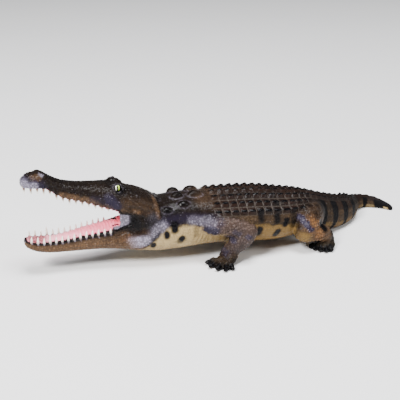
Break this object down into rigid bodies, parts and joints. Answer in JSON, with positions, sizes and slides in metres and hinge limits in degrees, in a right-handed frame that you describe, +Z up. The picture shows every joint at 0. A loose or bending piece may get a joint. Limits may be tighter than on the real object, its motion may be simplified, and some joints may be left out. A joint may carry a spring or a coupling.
{
  "type": "crocodile figurine",
  "caption": "Moulded crocodile figure standing low on sprawled legs, jaws wide open with rows of slender teeth, keeled back plates and a tail curling to its right.",
  "frame": {"origin": "on the floor, at the middle of the bounding box's underside", "axes": "-X is the way the snout points, +Y is towards the crocodile's right side, +Z up from the soles"},
  "size_m": [0.555, 0.1718, 0.1349],
  "materials": {
    "painted_vinyl": "soft vinyl, brown-black over a cream belly, hand-sprayed spots and bands, satin-gloss coat",
    "eye_plastic": "polished lime-yellow eye with a black upright slit"
  },
  "bodies": {
    "root": {"body": "painted_vinyl", "eye_left": "eye_plastic", "eye_right": "eye_plastic"}
  },
  "joints": []
}
